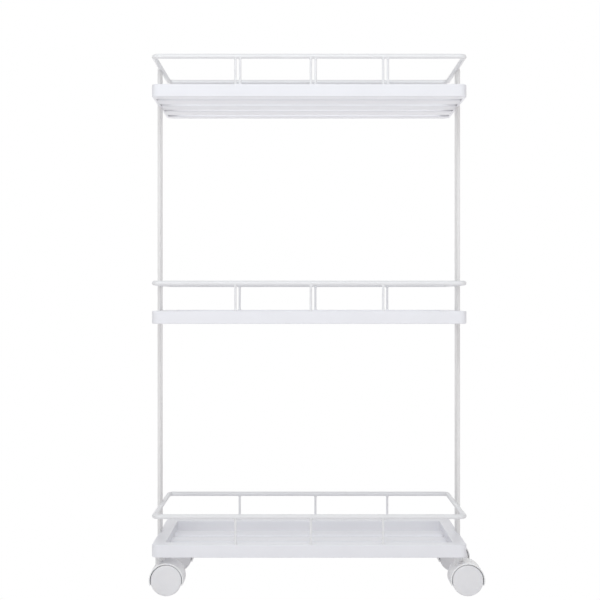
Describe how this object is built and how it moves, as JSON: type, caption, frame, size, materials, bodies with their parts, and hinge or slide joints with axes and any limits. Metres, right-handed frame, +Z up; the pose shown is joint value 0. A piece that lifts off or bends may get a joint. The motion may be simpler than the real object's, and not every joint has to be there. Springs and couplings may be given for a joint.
{
  "type": "rolling pantry cart",
  "caption": "Slim tiered storage cart of white steel: slatted trays with wire guard rails on flat uprights, rolling on hooded twin-wheel swivel casters.",
  "frame": {"origin": "on the floor, midway between the two uprights and midway between the front and back of the trays", "axes": "+Z up, +X to the right along the trays as seen from the front, +Y from the front to the back"},
  "size_m": [0.4222, 0.2, 0.68],
  "materials": {
    "tray_coat": "fine satin white powder coat on steel tube",
    "wire_coat": "satin white powder coat on drawn wire",
    "upright_coat": "satin white powder coat on flat bar",
    "hood_plastic": "fine spark-eroded texture, moulded white",
    "wheel_plastic": "smooth moulded white with a slight mould sheen",
    "screw_steel": "bright zinc plate",
    "nut_steel": "plain steel",
    "pin_steel": "turned steel, zinc plated"
  },
  "bodies": {
    "cart": {"bottom_front_posts": "wire_coat", "bottom_front_slat": "tray_coat", "bottom_guard_rail": "wire_coat", "bottom_middle_slat": "tray_coat", "bottom_rear_posts": "wire_coat", "bottom_rear_slat": "tray_coat", "bottom_screws": "screw_steel", "bottom_tray_frame": "tray_coat", "bottom_weld_nuts": "nut_steel", "caster_nuts": "nut_steel", "front_left_stem": "pin_steel", "front_left_stem_ring": "pin_steel", "front_left_washer": "pin_steel", "front_right_stem": "pin_steel", "front_right_stem_ring": "pin_steel", "front_right_washer": "pin_steel", "left_upright": "upright_coat", "middle_front_posts": "wire_coat", "middle_front_slat": "tray_coat", "middle_guard_rail": "wire_coat", "middle_middle_slat": "tray_coat", "middle_rear_posts": "wire_coat", "middle_rear_slat": "tray_coat", "middle_screws": "screw_steel", "middle_tray_frame": "tray_coat", "middle_weld_nuts": "nut_steel", "rear_left_stem": "pin_steel", "rear_left_stem_ring": "pin_steel", "rear_left_washer": "pin_steel", "rear_right_stem": "pin_steel", "rear_right_stem_ring": "pin_steel", "rear_right_washer": "pin_steel", "right_upright": "upright_coat", "top_front_posts": "wire_coat", "top_front_slat": "tray_coat", "top_guard_rail": "wire_coat", "top_middle_slat": "tray_coat", "top_rear_posts": "wire_coat", "top_rear_slat": "tray_coat", "top_screws": "screw_steel", "top_tray_frame": "tray_coat", "top_weld_nuts": "nut_steel"},
    "front_left_caster": {"front_left_hood": "hood_plastic", "front_left_axle": "pin_steel"},
    "front_left_outer_wheel": {"front_left_outer_wheel": "wheel_plastic"},
    "front_left_inner_wheel": {"front_left_inner_wheel": "wheel_plastic"},
    "front_right_caster": {"front_right_hood": "hood_plastic", "front_right_axle": "pin_steel"},
    "front_right_outer_wheel": {"front_right_outer_wheel": "wheel_plastic"},
    "front_right_inner_wheel": {"front_right_inner_wheel": "wheel_plastic"},
    "rear_left_caster": {"rear_left_hood": "hood_plastic", "rear_left_axle": "pin_steel"},
    "rear_left_outer_wheel": {"rear_left_outer_wheel": "wheel_plastic"},
    "rear_left_inner_wheel": {"rear_left_inner_wheel": "wheel_plastic"},
    "rear_right_caster": {"rear_right_hood": "hood_plastic", "rear_right_axle": "pin_steel"},
    "rear_right_outer_wheel": {"rear_right_outer_wheel": "wheel_plastic"},
    "rear_right_inner_wheel": {"rear_right_inner_wheel": "wheel_plastic"}
  },
  "joints": [
    {"name": "front_left_swivel", "type": "hinge", "parent": "cart", "child": "front_left_caster", "pos_m": [-0.1895, -0.075, 0.04], "axis": [0, 0, 1], "continuous": true},
    {"name": "front_left_outer_wheel_spin", "type": "hinge", "parent": "front_left_caster", "child": "front_left_outer_wheel", "pos_m": [-0.1798, -0.075, 0.0195], "axis": [0, 1, 0], "continuous": true},
    {"name": "front_left_inner_wheel_spin", "type": "hinge", "parent": "front_left_caster", "child": "front_left_inner_wheel", "pos_m": [-0.1798, -0.075, 0.0195], "axis": [0, 1, 0], "continuous": true},
    {"name": "front_right_swivel", "type": "hinge", "parent": "cart", "child": "front_right_caster", "pos_m": [0.1895, -0.075, 0.04], "axis": [0, 0, 1], "continuous": true},
    {"name": "front_right_outer_wheel_spin", "type": "hinge", "parent": "front_right_caster", "child": "front_right_outer_wheel", "pos_m": [0.1992, -0.075, 0.0195], "axis": [0, 1, 0], "continuous": true},
    {"name": "front_right_inner_wheel_spin", "type": "hinge", "parent": "front_right_caster", "child": "front_right_inner_wheel", "pos_m": [0.1992, -0.075, 0.0195], "axis": [0, 1, 0], "continuous": true},
    {"name": "rear_left_swivel", "type": "hinge", "parent": "cart", "child": "rear_left_caster", "pos_m": [-0.1895, 0.075, 0.04], "axis": [0, 0, 1], "continuous": true},
    {"name": "rear_left_outer_wheel_spin", "type": "hinge", "parent": "rear_left_caster", "child": "rear_left_outer_wheel", "pos_m": [-0.1798, 0.075, 0.0195], "axis": [0, 1, 0], "continuous": true},
    {"name": "rear_left_inner_wheel_spin", "type": "hinge", "parent": "rear_left_caster", "child": "rear_left_inner_wheel", "pos_m": [-0.1798, 0.075, 0.0195], "axis": [0, 1, 0], "continuous": true},
    {"name": "rear_right_swivel", "type": "hinge", "parent": "cart", "child": "rear_right_caster", "pos_m": [0.1895, 0.075, 0.04], "axis": [0, 0, 1], "continuous": true},
    {"name": "rear_right_outer_wheel_spin", "type": "hinge", "parent": "rear_right_caster", "child": "rear_right_outer_wheel", "pos_m": [0.1992, 0.075, 0.0195], "axis": [0, 1, 0], "continuous": true},
    {"name": "rear_right_inner_wheel_spin", "type": "hinge", "parent": "rear_right_caster", "child": "rear_right_inner_wheel", "pos_m": [0.1992, 0.075, 0.0195], "axis": [0, 1, 0], "continuous": true}
  ]
}
